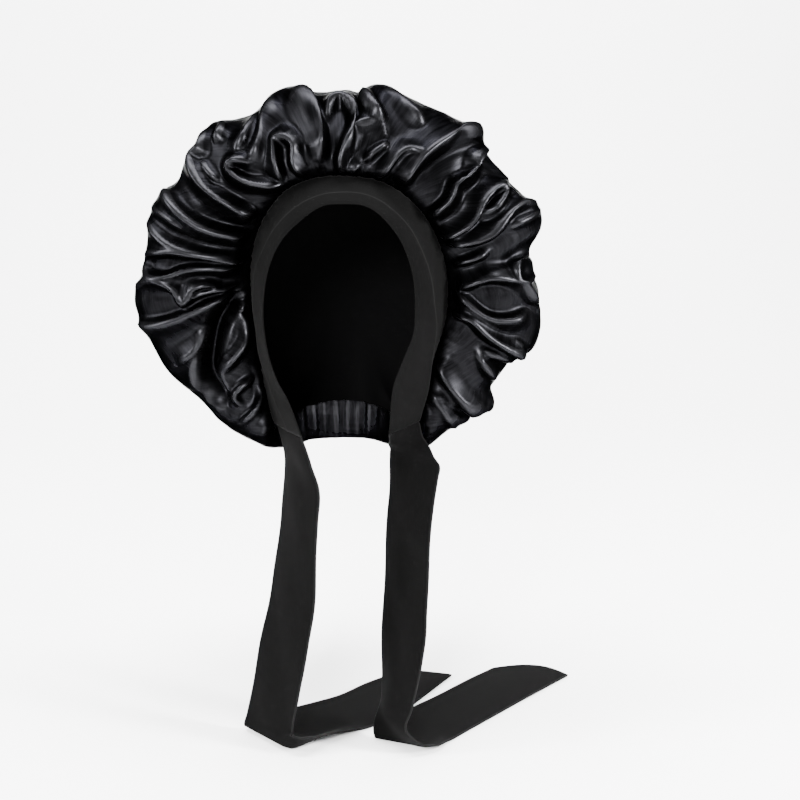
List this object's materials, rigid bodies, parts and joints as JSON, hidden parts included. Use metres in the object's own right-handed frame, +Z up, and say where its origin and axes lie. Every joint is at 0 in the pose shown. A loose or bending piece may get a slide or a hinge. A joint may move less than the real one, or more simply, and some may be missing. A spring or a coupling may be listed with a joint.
{
  "type": "sleep bonnet",
  "caption": "Large gathered satin sleep bonnet on a folded jersey band with two long hanging ties.",
  "frame": {"origin": "where the top of the wearer's head sits under the crown, with the ties hanging below", "axes": "+Z up, -Y the way the wearer looks, +X to the right of a viewer in front"},
  "size_m": [0.4191, 0.272, 0.5862],
  "materials": {
    "satin": "glossy black satin",
    "jersey": "matte black jersey"
  },
  "bodies": {
    "root": {"crown": "satin", "front_band": "jersey", "left_tie": "jersey", "right_tie": "jersey"}
  },
  "joints": []
}
